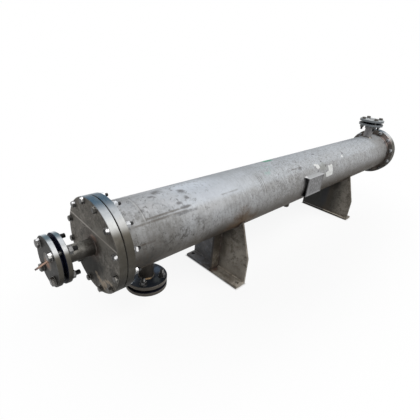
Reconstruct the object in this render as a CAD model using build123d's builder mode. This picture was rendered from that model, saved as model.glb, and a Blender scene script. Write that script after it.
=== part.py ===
from build123d import *
import math
import os

os.makedirs("parts", exist_ok=True)

# Shell and tube heat exchanger lying on two saddles. All sizes are in millimetres.
# X runs along the shell from the front end to the rear end, Y runs across it and Z is up.
# The floor is at Z = 0 and the origin lies under the middle of the shell.

# Shell
axis_height = 374.0
shell_outer_radius = 131.0
shell_wall = 6.0
shell_setback = 7.0

# Bolted ends
half_length = 1208.0
cover_thickness = 28.0
body_gasket_thickness = 3.0
shell_flange_thickness = 27.0
body_flange_width = 36.5
body_bolt_offset = 24.0
body_bolt_count = 12
body_bolt_hole_radius = 7.0
body_gasket_margin = 2.0
rim_chamfer = 1.2
slip_clearance = 0.2

# Nozzles, four alike
neck_outer_radius = 28.5
neck_wall = 3.5
neck_setback = 5.0
axial_reach = 99.5
radial_reach = 85.0
radial_nozzle_inset = 211.0
nozzle_flange_radius = 82.5
nozzle_flange_thickness = 19.5
nozzle_bolt_circle_radius = 62.5
nozzle_bolt_count = 4
nozzle_bolt_hole_radius = 9.0
raised_face_radius = 51.0
raised_face_height = 4.5
nozzle_gasket_thickness = 4.0

# Saddles
saddle_inset = 652.0
saddle_depth = 64.0
base_overhang = 43.0
base_thickness = 12.0
web_thickness = 10.0
web_shoulder_height = 141.0
web_wrap_angle = 62.0
rib_thickness = 10.0
rib_inset = 4.0
anchor_edge_distance = 20.0
anchor_hole_radius = 9.5

# Name plate
plate_middle_x = -9.0
plate_length = 160.0
plate_top = 57.0
plate_bottom = -46.0
plate_thickness = 1.5
plate_margin = 3.0
bracket_standoff = 18.0
bracket_wall = 2.5

# Drain under the shell
drain_x = -6.0
drain_radius = 20.0
drain_bore_radius = 12.5
drain_drop = 32.0
plug_shank_length = 18.0
plug_head_radius = 18.0
plug_head_height = 18.0
plug_chamfer = 1.5

# Sealed copper vent tube on the front blind flange
vent_radius = 3.2
vent_wall = 1.0
vent_embed = 12.0
vent_length = 31.0
vent_droop_angle = 21.0
vent_pinch_length = 9.0
vent_pinch_half_width = 4.6
vent_pinch_half_thickness = 1.1

# Sizes that follow from the ones above
shell_inner_radius = shell_outer_radius - shell_wall
neck_bore_radius = neck_outer_radius - neck_wall
nozzle_flange_bore_radius = neck_outer_radius + slip_clearance
nozzle_rim_thickness = nozzle_flange_thickness - raised_face_height
blind_start = nozzle_flange_thickness + nozzle_gasket_thickness
blind_rim_start = blind_start + raised_face_height
blind_end = blind_rim_start + nozzle_rim_thickness
body_flange_radius = shell_outer_radius + body_flange_width
body_bolt_circle_radius = shell_outer_radius + body_bolt_offset
radial_nozzle_x = half_length - radial_nozzle_inset
gasket_face_x = half_length - cover_thickness
shell_flange_face_x = gasket_face_x - body_gasket_thickness
shell_half_length = shell_flange_face_x - shell_setback
body_gasket_radius = body_bolt_circle_radius - body_bolt_hole_radius - body_gasket_margin
body_bolt_start = 180.0 / body_bolt_count
nozzle_bolt_start = 180.0 / nozzle_bolt_count
saddle_inner_x = half_length - saddle_inset
saddle_outer_x = saddle_inner_x + saddle_depth
base_half_width = shell_outer_radius + base_overhang
web_outer_x = saddle_inner_x + web_thickness
anchor_x = (web_outer_x + saddle_outer_x) / 2
anchor_y = base_half_width - anchor_edge_distance
web_top_y = shell_outer_radius * math.sin(math.radians(web_wrap_angle))
web_top_z = axis_height - shell_outer_radius * math.cos(math.radians(web_wrap_angle))
shell_bottom_z = axis_height - shell_outer_radius
bracket_offset = shell_outer_radius + bracket_standoff
plate_height = plate_top - plate_bottom
plate_middle_z = axis_height + (plate_top + plate_bottom) / 2
plate_start_x = plate_middle_x - plate_length / 2
drain_end_z = shell_bottom_z - drain_drop
vent_face_x = -half_length - axial_reach - blind_end
vent_droop = math.radians(vent_droop_angle)

# Shell, an open tube with holes under its nozzles and its drain
with BuildPart() as shell:
    with BuildSketch(Plane.YZ.offset(-shell_half_length)):
        with Locations((0, axis_height)):
            Circle(shell_outer_radius)
            Circle(shell_inner_radius, mode=Mode.SUBTRACT)
    extrude(amount=2 * shell_half_length)
    with BuildSketch(Plane.XY.offset(axis_height)):
        with Locations((radial_nozzle_x, 0)):
            Circle(neck_bore_radius)
    extrude(amount=shell_outer_radius, mode=Mode.SUBTRACT)
    with BuildSketch(Plane.XY.offset(axis_height)):
        with Locations((-radial_nozzle_x, 0)):
            Circle(neck_bore_radius)
        with Locations((drain_x, 0)):
            Circle(drain_bore_radius)
    extrude(amount=-shell_outer_radius, mode=Mode.SUBTRACT)
shell.part.label = "shell"
export_step(shell.part, "parts/shell.step")

# Bolted ends: a slip-on shell flange, a ring gasket inside the bolts and a flat cover
for end, side in (("front", -1), ("rear", 1)):
    end_axis = Plane(origin=(0, 0, axis_height), x_dir=(0, 1, 0), z_dir=(side, 0, 0))

    with BuildPart() as shell_flange:
        with BuildSketch(end_axis.offset(shell_flange_face_x)):
            Circle(body_flange_radius)
            Circle(shell_outer_radius + slip_clearance, mode=Mode.SUBTRACT)
            with PolarLocations(body_bolt_circle_radius, body_bolt_count, body_bolt_start):
                Circle(body_bolt_hole_radius, mode=Mode.SUBTRACT)
        extrude(amount=-shell_flange_thickness)
        rims = shell_flange.edges().filter_by(GeomType.CIRCLE).group_by(SortBy.RADIUS)[-1]
        chamfer(rims, length=rim_chamfer)
    shell_flange.part.label = end + "_shell_flange"
    export_step(shell_flange.part, "parts/" + end + "_shell_flange.step")

    with BuildPart() as body_gasket:
        with BuildSketch(end_axis.offset(shell_flange_face_x)):
            Circle(body_gasket_radius)
            Circle(shell_inner_radius, mode=Mode.SUBTRACT)
        extrude(amount=body_gasket_thickness)
    body_gasket.part.label = end + "_body_gasket"
    export_step(body_gasket.part, "parts/" + end + "_body_gasket.step")

    with BuildPart() as cover:
        with BuildSketch(end_axis.offset(gasket_face_x)):
            Circle(body_flange_radius)
            Circle(neck_bore_radius, mode=Mode.SUBTRACT)
            with PolarLocations(body_bolt_circle_radius, body_bolt_count, body_bolt_start):
                Circle(body_bolt_hole_radius, mode=Mode.SUBTRACT)
        extrude(amount=cover_thickness)
        rims = cover.edges().filter_by(GeomType.CIRCLE).group_by(SortBy.RADIUS)[-1]
        chamfer(rims, length=rim_chamfer)
    cover.part.label = end + "_cover"
    export_step(cover.part, "parts/" + end + "_cover.step")

# Each nozzle has its own plane: its origin on the wall that carries it and Z pointing out of the vessel
front_seat = Plane(origin=(-half_length, 0, axis_height), x_dir=(0, 1, 0), z_dir=(-1, 0, 0))
rear_seat = Plane(origin=(half_length, 0, axis_height), x_dir=(0, 1, 0), z_dir=(1, 0, 0))
bottom_seat = Plane(origin=(-radial_nozzle_x, 0, shell_bottom_z), x_dir=(1, 0, 0), z_dir=(0, 0, -1))
top_seat = Plane(
    origin=(radial_nozzle_x, 0, axis_height + shell_outer_radius), x_dir=(1, 0, 0), z_dir=(0, 0, 1)
)

# The vent's plane has its origin on the front blind flange and Z along the drooping tube
vent_seat = Plane(
    origin=(vent_face_x, 0, axis_height), x_dir=(0, 1, 0), z_dir=(-math.cos(vent_droop), 0, -math.sin(vent_droop))
)

# Straight necks stand on the covers
for nozzle, seat in (("front_axial", front_seat), ("rear_axial", rear_seat)):
    with BuildPart() as straight_neck:
        with BuildSketch(seat):
            Circle(neck_outer_radius)
            Circle(neck_bore_radius, mode=Mode.SUBTRACT)
        extrude(amount=axial_reach + nozzle_flange_thickness - neck_setback)
    straight_neck.part.label = nozzle + "_neck"
    export_step(straight_neck.part, "parts/" + nozzle + "_neck.step")

# Coped necks are cut to the round of the shell, so they sit on it all the way round
for nozzle, seat in (("bottom", bottom_seat), ("top", top_seat)):
    with BuildPart() as coped_neck:
        with BuildSketch(seat.offset(-shell_outer_radius)):
            Circle(neck_outer_radius)
            Circle(neck_bore_radius, mode=Mode.SUBTRACT)
        extrude(amount=shell_outer_radius + radial_reach + nozzle_flange_thickness - neck_setback)
        with BuildSketch(Plane.YZ.offset(-shell_half_length)):
            with Locations((0, axis_height)):
                Circle(shell_outer_radius)
        extrude(amount=2 * shell_half_length, mode=Mode.SUBTRACT)
    coped_neck.part.label = nozzle + "_neck"
    export_step(coped_neck.part, "parts/" + nozzle + "_neck.step")

# Slip-on flange, ring gasket and blind flange on every neck
for nozzle, seat, reach in (
    ("front_axial", front_seat, axial_reach),
    ("rear_axial", rear_seat, axial_reach),
    ("bottom", bottom_seat, radial_reach),
    ("top", top_seat, radial_reach),
):
    with BuildPart() as nozzle_flange:
        with BuildSketch(seat.offset(reach)):
            Circle(nozzle_flange_radius)
            with PolarLocations(nozzle_bolt_circle_radius, nozzle_bolt_count, nozzle_bolt_start):
                Circle(nozzle_bolt_hole_radius, mode=Mode.SUBTRACT)
        extrude(amount=nozzle_rim_thickness)
        with BuildSketch(seat.offset(reach + nozzle_rim_thickness)):
            Circle(raised_face_radius)
        extrude(amount=raised_face_height)
        with BuildSketch(seat.offset(reach)):
            Circle(nozzle_flange_bore_radius)
        extrude(amount=nozzle_flange_thickness, mode=Mode.SUBTRACT)
        rims = nozzle_flange.edges().filter_by(GeomType.CIRCLE).group_by(SortBy.RADIUS)[-1]
        chamfer(rims, length=rim_chamfer)
    nozzle_flange.part.label = nozzle + "_flange"
    export_step(nozzle_flange.part, "parts/" + nozzle + "_flange.step")

    with BuildPart() as nozzle_gasket:
        with BuildSketch(seat.offset(reach + nozzle_flange_thickness)):
            Circle(raised_face_radius)
            Circle(nozzle_flange_bore_radius, mode=Mode.SUBTRACT)
        extrude(amount=nozzle_gasket_thickness)
    nozzle_gasket.part.label = nozzle + "_gasket"
    export_step(nozzle_gasket.part, "parts/" + nozzle + "_gasket.step")

    with BuildPart() as blind:
        with BuildSketch(seat.offset(reach + blind_start)):
            Circle(raised_face_radius)
        extrude(amount=raised_face_height)
        with BuildSketch(seat.offset(reach + blind_rim_start)):
            Circle(nozzle_flange_radius)
            with PolarLocations(nozzle_bolt_circle_radius, nozzle_bolt_count, nozzle_bolt_start):
                Circle(nozzle_bolt_hole_radius, mode=Mode.SUBTRACT)
        extrude(amount=nozzle_rim_thickness)
        rims = blind.edges().filter_by(GeomType.CIRCLE).group_by(SortBy.RADIUS)[-1]
        chamfer(rims, length=rim_chamfer)
        if nozzle == "front_axial":
            with BuildSketch(vent_seat.offset(-vent_embed)):
                Circle(vent_radius)
            extrude(amount=vent_embed + vent_length, mode=Mode.SUBTRACT)
    blind.part.label = nozzle + "_blind"
    export_step(blind.part, "parts/" + nozzle + "_blind.step")

# Saddles: a floor plate, a web cut to the shell along the inner edge and one rib on the outer side
for end, side in (("front", -1), ("rear", 1)):
    with BuildPart() as base:
        with BuildSketch():
            with Locations((side * (saddle_inner_x + saddle_outer_x) / 2, 0)):
                Rectangle(saddle_outer_x - saddle_inner_x, 2 * base_half_width)
            with Locations((side * anchor_x, anchor_y), (side * anchor_x, -anchor_y)):
                Circle(anchor_hole_radius, mode=Mode.SUBTRACT)
        extrude(amount=base_thickness)
    base.part.label = end + "_saddle_base"
    export_step(base.part, "parts/" + end + "_saddle_base.step")

    with BuildPart() as web:
        with BuildSketch(Plane.YZ.offset(side * saddle_inner_x)):
            with BuildLine():
                Polyline(
                    (-base_half_width, base_thickness),
                    (base_half_width, base_thickness),
                    (base_half_width, web_shoulder_height),
                    (web_top_y, web_top_z),
                    (-web_top_y, web_top_z),
                    (-base_half_width, web_shoulder_height),
                    close=True,
                )
            make_face()
            with Locations((0, axis_height)):
                Circle(shell_outer_radius, mode=Mode.SUBTRACT)
        extrude(amount=side * web_thickness)
    web.part.label = end + "_saddle_web"
    export_step(web.part, "parts/" + end + "_saddle_web.step")

    rib_outer_x = saddle_outer_x - rib_inset
    with BuildPart() as rib:
        with BuildSketch(Plane.XY.offset(base_thickness)):
            with Locations((side * (web_outer_x + rib_outer_x) / 2, 0)):
                Rectangle(rib_outer_x - web_outer_x, rib_thickness)
        extrude(amount=axis_height - base_thickness)
        with BuildSketch(Plane.YZ.offset(side * saddle_inner_x)):
            with Locations((0, axis_height)):
                Circle(shell_outer_radius)
        extrude(amount=side * (saddle_outer_x - saddle_inner_x), mode=Mode.SUBTRACT)
    rib.part.label = end + "_saddle_rib"
    export_step(rib.part, "parts/" + end + "_saddle_rib.step")

# Name plate on a folded bracket whose two legs are cut to the shell
with BuildPart() as bracket:
    with BuildSketch(Plane.YZ.offset(plate_start_x)):
        with Locations((-bracket_offset / 2, plate_middle_z)):
            Rectangle(bracket_offset, plate_height)
        with Locations((-(bracket_offset - bracket_wall) / 2, plate_middle_z)):
            Rectangle(bracket_offset - bracket_wall, plate_height - 2 * bracket_wall, mode=Mode.SUBTRACT)
        with Locations((0, axis_height)):
            Circle(shell_outer_radius, mode=Mode.SUBTRACT)
    extrude(amount=plate_length)
bracket.part.label = "nameplate_bracket"
export_step(bracket.part, "parts/nameplate_bracket.step")

with BuildPart() as nameplate:
    with BuildSketch(Plane.XZ.offset(bracket_offset)):
        with Locations((plate_middle_x, plate_middle_z)):
            Rectangle(plate_length - 2 * plate_margin, plate_height - 2 * plate_margin)
    extrude(amount=plate_thickness)
nameplate.part.label = "nameplate"
export_step(nameplate.part, "parts/nameplate.step")

# Drain: a boss coped to the underside of the shell and a six-sided plug
with BuildPart() as drain_boss:
    with BuildSketch(Plane.XY.offset(drain_end_z)):
        with Locations((drain_x, 0)):
            Circle(drain_radius)
            Circle(drain_bore_radius, mode=Mode.SUBTRACT)
    extrude(amount=axis_height - drain_end_z)
    with BuildSketch(Plane.YZ.offset(drain_x - 2 * drain_radius)):
        with Locations((0, axis_height)):
            Circle(shell_outer_radius)
    extrude(amount=4 * drain_radius, mode=Mode.SUBTRACT)
drain_boss.part.label = "drain_boss"
export_step(drain_boss.part, "parts/drain_boss.step")

with BuildPart() as drain_plug:
    with BuildSketch(Plane.XY.offset(drain_end_z)):
        with Locations((drain_x, 0)):
            Circle(drain_bore_radius - slip_clearance)
    extrude(amount=plug_shank_length)
    with BuildSketch(Plane.XY.offset(drain_end_z)):
        with Locations((drain_x, 0)):
            RegularPolygon(plug_head_radius, 6)
    extrude(amount=-plug_head_height)
    chamfer(drain_plug.faces().sort_by(Axis.Z)[0].edges(), length=plug_chamfer)
drain_plug.part.label = "drain_plug"
export_step(drain_plug.part, "parts/drain_plug.step")

# Vent: a thin tube let into the front blind flange, drooping and pinched shut at its end
with BuildPart() as vent:
    with BuildSketch(vent_seat.offset(-vent_embed)):
        Circle(vent_radius)
        Circle(vent_radius - vent_wall, mode=Mode.SUBTRACT)
    extrude(amount=vent_embed + vent_length)
    with BuildSketch(vent_seat.offset(vent_length)):
        Circle(vent_radius)
    with BuildSketch(vent_seat.offset(vent_length + vent_pinch_length)):
        Ellipse(vent_pinch_half_width, vent_pinch_half_thickness)
    loft()
vent.part.label = "copper_vent_tube"
export_step(vent.part, "parts/copper_vent_tube.step")
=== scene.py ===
import math
import random

import bpy
from mathutils import Matrix, Vector


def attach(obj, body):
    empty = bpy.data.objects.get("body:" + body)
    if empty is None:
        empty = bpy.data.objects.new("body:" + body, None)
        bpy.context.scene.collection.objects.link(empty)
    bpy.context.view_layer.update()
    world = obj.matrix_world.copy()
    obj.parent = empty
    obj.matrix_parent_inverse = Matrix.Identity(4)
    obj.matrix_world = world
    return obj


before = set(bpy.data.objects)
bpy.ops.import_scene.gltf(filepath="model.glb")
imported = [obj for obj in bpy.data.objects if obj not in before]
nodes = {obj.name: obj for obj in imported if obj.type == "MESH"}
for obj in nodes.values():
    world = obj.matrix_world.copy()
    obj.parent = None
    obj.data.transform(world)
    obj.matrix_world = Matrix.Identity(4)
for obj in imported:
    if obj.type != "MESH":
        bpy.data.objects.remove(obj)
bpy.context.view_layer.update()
bpy.ops.object.select_all(action="DESELECT")

# Sizes of the vessel in metres, as in the solids
axis_height = 0.374
shell_radius = 0.131
cover_face_x = 1.208
shell_flange_back_x = 1.15
body_flange_radius = 0.1675
nozzle_flange_radius = 0.0825
neck_radius = 0.0285
axial_flange_back_x = cover_face_x + 0.0995
axial_blind_face_x = cover_face_x + 0.1425
radial_nozzle_x = 0.997
radial_flange_back = shell_radius + 0.085
radial_blind_face = shell_radius + 0.128
axial_joint = (axial_flange_back_x + 0.0146, axial_flange_back_x + 0.0284)
radial_joint = (radial_flange_back + 0.0146, radial_flange_back + 0.0284)
saddle_inner_x = 0.556
saddle_web_x = 0.566
saddle_outer_x = 0.62
saddle_rib_x = 0.616
saddle_half_width = 0.174
saddle_base_top = 0.012
saddle_wrap = math.radians(62)
rib_half = 0.0055
plate_face_y = -0.1505
plate_corner_x = (-0.081, 0.063)
plate_corner_z = (0.336, 0.423)
bracket_top = axis_height + 0.057
drain_x = -0.006

# Radius of each bolt circle and the number of its bolts
cover_circle = (0.155, 12)
nozzle_circle = (0.0625, 4)

# M12 bolts round the covers and M16 bolts through the nozzle flanges
bolt_sizes = ("across", "head", "nut", "washer", "washer_height", "shank", "pitch", "turns")
m12 = dict(zip(bolt_sizes, (0.019, 0.008, 0.0125, 0.012, 0.0025, 0.0059, 0.0019, 6)))
m16 = dict(zip(bolt_sizes, (0.024, 0.01, 0.014, 0.015, 0.003, 0.0079, 0.0022, 7)))

ends = (("front", -1), ("rear", 1))
dice = random.Random(14)


# Shader groups


def feed(tree, value, socket):
    """Sets a socket to a constant, or links the output of another node to it."""
    if isinstance(value, (int, float, tuple, list)):
        socket.default_value = value
    else:
        tree.links.new(value, socket)


def new_group(name, inputs, outputs):
    """An empty shader group; an input whose first value is a tuple is a vector."""
    group = bpy.data.node_groups.new(name, "ShaderNodeTree")
    for socket_name, value in inputs.items():
        kind = "NodeSocketVector" if isinstance(value, tuple) else "NodeSocketFloat"
        socket = group.interface.new_socket(name=socket_name, in_out="INPUT", socket_type=kind)
        socket.default_value = value
    for socket_name in outputs:
        group.interface.new_socket(
            name=socket_name, in_out="OUTPUT", socket_type="NodeSocketFloat"
        )
    source = group.nodes.new("NodeGroupInput")
    target = group.nodes.new("NodeGroupOutput")
    return group, source.outputs, target.inputs


def add_node(tree, kind, sockets, **settings):
    """Adds a shader node with its settings and with what goes into its sockets."""
    node = tree.nodes.new("ShaderNode" + kind)
    for name, value in settings.items():
        setattr(node, name, value)
    for name, value in sockets.items():
        feed(tree, value, node.inputs[name])
    return node.outputs


def add_math(tree, operation, *values):
    return add_node(tree, "Math", dict(enumerate(values)), operation=operation)[0]


def add_vector_math(tree, operation, *values):
    outputs = add_node(tree, "VectorMath", dict(enumerate(values)), operation=operation)
    return outputs["Value" if operation == "LENGTH" else "Vector"]


def add_ramp(tree, value, low, high, from_value=0.0, to_value=1.0):
    sockets = {"Value": value, "From Min": low, "From Max": high}
    sockets.update({"To Min": from_value, "To Max": to_value})
    return add_node(tree, "MapRange", sockets, interpolation_type="SMOOTHSTEP")["Result"]


def add_noise(tree, vector, scale, detail=4.0, roughness=0.55, distortion=0.0):
    sockets = {"Vector": vector, "Scale": scale, "Detail": detail}
    sockets.update({"Roughness": roughness, "Distortion": distortion})
    return add_node(tree, "TexNoise", sockets)["Fac"]


def add_place(tree):
    """The point on the surface, whole and as X, Y and Z."""
    place = add_node(tree, "TexCoord", {})["Object"]
    return place, *add_node(tree, "SeparateXYZ", {0: place})


def build_cloud_group():
    """Cloudy mottling: broad patches broken up by finer ones, as a mask from 0 to 1."""
    group, source, target = new_group(
        "cloudy_mottle",
        {"Vector": (0, 0, 0), "Scale": 6.0, "Low": 0.35, "High": 0.65},
        ["Mask"],
    )
    broad = add_noise(group, source["Vector"], source["Scale"], 6.0, 0.62, 0.6)
    finer_scale = add_math(group, "MULTIPLY", source["Scale"], 5.3)
    fine = add_noise(group, source["Vector"], finer_scale, 5.0, 0.6, 0.3)
    fine_share = add_math(group, "MULTIPLY", fine, 0.35)
    broad_share = add_math(group, "MULTIPLY", broad, 0.65)
    both = add_math(group, "ADD", broad_share, fine_share)
    mask = add_ramp(group, both, source["Low"], source["High"])
    group.links.new(mask, target["Mask"])
    return group


def build_spot_group():
    """A soft stain at one place with a torn edge, as a mask from 0 to 1."""
    group, source, target = new_group(
        "torn_spot",
        {
            "Vector": (0, 0, 0),
            "Centre": (0, 0, 0),
            "Size": (0.1, 0.1, 0.1),
            "Tear Scale": 30.0,
            "Tear": 0.6,
            "Softness": 0.5,
        },
        ["Mask"],
    )
    offset = add_vector_math(group, "SUBTRACT", source["Vector"], source["Centre"])
    stretched = add_vector_math(group, "DIVIDE", offset, source["Size"])
    reach = add_vector_math(group, "LENGTH", stretched)
    tear = add_noise(group, source["Vector"], source["Tear Scale"], 5.0, 0.65, 0.4)
    swing = add_math(group, "SUBTRACT", tear, 0.5)
    swing = add_math(group, "MULTIPLY", swing, source["Tear"])
    edge = add_math(group, "ADD", reach, add_math(group, "MULTIPLY", swing, 2.0))
    inner = add_math(group, "SUBTRACT", 1.0, source["Softness"])
    mask = add_ramp(group, edge, inner, 1.0, 1.0, 0.0)
    group.links.new(mask, target["Mask"])
    return group


def build_line_distance_group():
    """Distance from a straight line through Centre; Across is 0 along the line."""
    group, source, target = new_group(
        "distance_from_axis",
        {"Vector": (0, 0, 0), "Centre": (0, 0, 0), "Across": (0, 1, 1)},
        ["Distance"],
    )
    offset = add_vector_math(group, "SUBTRACT", source["Vector"], source["Centre"])
    flat = add_vector_math(group, "MULTIPLY", offset, source["Across"])
    group.links.new(add_vector_math(group, "LENGTH", flat), target["Distance"])
    return group


def build_grain_group():
    """Fine grain for roughness and bump, drawn out along the axis with the smallest Stretch."""
    group, source, target = new_group(
        "metal_grain",
        {"Vector": (0, 0, 0), "Stretch": (1, 1, 1), "Scale": 400.0},
        ["Height", "Streak"],
    )
    stretched = add_vector_math(group, "MULTIPLY", source["Vector"], source["Stretch"])
    height = add_noise(group, stretched, source["Scale"], 3.0, 0.6)
    coarse = add_math(group, "MULTIPLY", source["Scale"], 0.12)
    streak = add_noise(group, stretched, coarse, 4.0, 0.6)
    group.links.new(height, target["Height"])
    group.links.new(streak, target["Streak"])
    return group


cloud_group = build_cloud_group()
spot_group = build_spot_group()
line_distance_group = build_line_distance_group()
grain_group = build_grain_group()


class Coat:
    """A material whose colour, roughness and metal are layered by masks on Object coordinates."""

    def __init__(self, name, colour, roughness, metallic, specular=0.2):
        self.material = bpy.data.materials.new(name)
        self.material.use_nodes = True
        self.tree = self.material.node_tree
        self.shader = self.tree.nodes["Principled BSDF"].inputs
        self.shader["Specular IOR Level"].default_value = specular
        self.layers = {"Base Color": (*colour, 1.0)}
        self.layers.update({"Roughness": roughness, "Metallic": metallic})
        self.place, self.x, self.y, self.z = add_place(self.tree)

    def group(self, group, *values):
        """Adds a shader group; the values go into its sockets after the first, in their order."""
        sockets = dict(enumerate((self.place, *values)))
        return add_node(self.tree, "Group", sockets, node_tree=group)

    def cloud(self, scale, low, high):
        return self.group(cloud_group, scale, low, high)["Mask"]

    def spot(self, centre, size, tear, tear_scale, softness):
        return self.group(spot_group, centre, size, tear_scale, tear, softness)["Mask"]

    def spots(self, edge, places):
        """Several stains as one mask; each place is a centre and a size."""
        mask = None
        for centre, size in places:
            one = self.spot(centre, size, *edge)
            mask = one if mask is None else self.most(mask, one)
        return mask

    def frayed(self, value, scale, reach):
        """A coordinate pushed to and fro, so that an edge cut along it looks torn."""
        push = add_math(self.tree, "SUBTRACT", add_noise(self.tree, self.place, scale), 0.5)
        return add_math(self.tree, "ADD", value, self.times(push, 4.0 * reach))

    def distance(self, centre, across):
        return self.group(line_distance_group, centre, across)["Distance"]

    def grain(self, scale, stretch=(1.0, 1.0, 1.0)):
        return self.group(grain_group, stretch, scale)

    def ramp(self, value, low, high):
        return add_ramp(self.tree, value, low, high)

    def level(self, low, high):
        """A ramp over the height above the axis of the vessel."""
        return self.ramp(self.z, axis_height + low, axis_height + high)

    def times(self, first, *others):
        for other in others:
            first = add_math(self.tree, "MULTIPLY", first, other)
        return first

    def most(self, first, second):
        return add_math(self.tree, "MAXIMUM", first, second)

    def unsigned(self, value):
        return add_math(self.tree, "ABSOLUTE", value)

    def band(self, value, low, high, soft):
        """1 between low and high, falling to 0 over the soft width outside them."""
        rise = self.ramp(value, low - soft, low)
        return self.times(rise, self.ramp(value, high + soft, high))

    def level_band(self, low, high, soft):
        return self.band(self.z, axis_height + low, axis_height + high, soft)

    def lay(self, layer, mask, value):
        """Mixes a value over one input of the shader, as far as the mask goes."""
        sockets = {"Factor": mask, "A": self.layers[layer], "B": value}
        kind = "RGBA" if layer == "Base Color" else "FLOAT"
        self.layers[layer] = add_node(self.tree, "Mix", sockets, data_type=kind)["Result"]

    def paint(self, colour, strength, *masks):
        """Lays a colour where all the masks meet."""
        if strength != 1.0:
            masks = (*masks, strength)
        self.lay("Base Color", self.times(*masks), (*colour, 1.0))

    def mottle(self, *rows):
        """Cloudy layers: the scale, low and high of each cloud, its colour and its strength."""
        for scale, low, high, colour, strength in rows:
            self.paint(colour, strength, self.cloud(scale, low, high))

    def stain(self, colour, strength, *spot):
        """Paints one spot, given by its centre, size, tear, tear scale and softness."""
        mask = self.spot(*spot)
        self.paint(colour, strength, mask)
        return mask

    def roughen(self, mask, to_value):
        self.lay("Roughness", mask, to_value)

    def dull(self, mask, to_value):
        self.lay("Metallic", mask, to_value)

    def surface(self, scale, strength, depth, streaks=None, stretch=(1.0, 1.0, 1.0)):
        """Grain as bump and, if streaks gives two limits and a roughness, as rough streaks."""
        grain = self.grain(scale, stretch)
        if streaks:
            low, high, roughness = streaks
            self.roughen(self.ramp(grain["Streak"], low, high), roughness)
        sockets = {"Strength": strength, "Distance": depth, "Height": grain["Height"]}
        self.layers["Normal"] = add_node(self.tree, "Bump", sockets)["Normal"]

    def close(self):
        for layer, value in self.layers.items():
            feed(self.tree, value, self.shader[layer])
        return self.material


# Finishes

along_x = (0.0, 1.0, 1.0)
along_z = (1.0, 1.0, 0.0)
shell_axis = (0.0, 0.0, axis_height)
front_x = -cover_face_x
joint_soft = 0.0005

ochre = (0.82, 0.67, 0.5)
weld_brown = (0.075, 0.052, 0.042)
gap_shade = (0.012, 0.013, 0.022)


def shade(colour, share):
    return tuple(share * c for c in colour)


def rim_mask(coat, distance, radius):
    """1 on the rim of a disc and 0 on its faces."""
    return coat.ramp(distance, radius - 0.0016, radius - 0.0006)


def neck_mask(coat, distance):
    """1 on a neck and 0 outside it."""
    return coat.ramp(distance, neck_radius + 0.0018, neck_radius + 0.0004)


def paint_shell_tones(coat):
    """Mottled steel with painted shade below, under the saddle bay and under the far half, a
    painted grey-blue sky reflection on top, painted highlights along the upper side, and painted
    shade on the far side of the top, deeper over one stretch.
    """
    coat.mottle(
        (4.5, 0.4, 0.64, (0.34, 0.338, 0.332), 0.85),
        (14.0, 0.49, 0.64, (0.235, 0.23, 0.222), 0.6),
        (2.1, 0.46, 0.62, (0.54, 0.56, 0.59), 0.6),
        (38.0, 0.52, 0.63, (0.2, 0.195, 0.19), 0.5),
    )
    brushed = coat.grain(900.0, (1.0, 0.1, 0.1))["Streak"]
    coat.paint((0.24, 0.235, 0.23), 0.38, coat.ramp(brushed, 0.5, 0.64))
    coat.paint((0.62, 0.63, 0.65), 0.27, coat.ramp(brushed, 0.46, 0.34))
    coat.mottle(
        (120.0, 0.5, 0.6, (0.17, 0.165, 0.16), 0.45),
        (85.0, 0.44, 0.36, (0.62, 0.63, 0.65), 0.4),
    )
    # Painted shade: the lower side of the shell is darkened, and its underside more so
    low_side = coat.level(0.075, -0.115)
    coat.paint((0.16, 0.137, 0.104), 0.8, low_side)
    coat.paint((0.056, 0.042, 0.026), 0.68, coat.level(0.012, -0.09))
    # Painted shade under the bay between the bottom nozzle and the front saddle
    saddle_bay = coat.band(coat.x, -0.78, -0.58, 0.06)
    coat.paint((0.03, 0.024, 0.018), 0.64, saddle_bay, coat.level(0.0, -0.07))
    # Painted shade under the far half of the shell
    far_part = coat.ramp(coat.x, -0.55, 0.25)
    coat.paint((0.056, 0.044, 0.029), 0.85, far_part, coat.level(0.05, -0.075))
    # Painted reflection: a grey-blue sky tone along the crown
    coat.paint((0.31, 0.345, 0.39), 0.3, coat.level(0.112, 0.13))
    # Painted highlight: a pale bluish band along the upper side
    highlight_band = coat.level_band(0.095, 0.128, 0.022)
    coat.paint((0.62, 0.665, 0.72), 0.38, highlight_band, coat.band(coat.x, -0.88, 0.85, 0.2))
    coat.paint((0.15, 0.14, 0.13), 0.36, coat.ramp(coat.x, 0.88, 1.12))
    beyond_saddle = coat.ramp(coat.x, -0.6, -0.3)
    coat.paint((0.175, 0.17, 0.165), 0.58, beyond_saddle, coat.cloud(100.0, 0.5, 0.58))
    # Painted highlights: three pale patches on the upper side of the front half
    for colour, strength, middle, size, tear_scale in (
        ((0.59, 0.625, 0.68), 0.68, (-0.76, -0.076, 0.482), (0.3, 0.07, 0.05), 9.0),
        ((0.66, 0.71, 0.785), 0.66, (-0.8, -0.02, 0.503), (0.2, 0.07, 0.04), 9.0),
        ((0.54, 0.545, 0.555), 0.62, (-0.77, -0.114, 0.44), (0.21, 0.05, 0.042), 12.0),
    ):
        coat.stain(colour, strength, middle, size, 0.5, tear_scale, 0.9)
    # Painted shade on the far side of the top, deeper over a stretch near the front saddle and
    # towards both ends
    coat.paint((0.24, 0.26, 0.285), 0.5, coat.ramp(coat.y, -0.008, 0.046))
    far_top_shade_part = coat.band(coat.x, -0.66, -0.42, 0.08)
    coat.paint((0.26, 0.27, 0.285), 0.32, far_top_shade_part, coat.ramp(coat.y, -0.035, 0.01))
    both_ends = coat.most(coat.ramp(coat.x, -0.86, -1.02), coat.ramp(coat.x, 0.5, 0.8))
    coat.paint((0.19, 0.205, 0.225), 0.72, both_ends, coat.ramp(coat.y, -0.02, 0.022))
    return low_side


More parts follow.
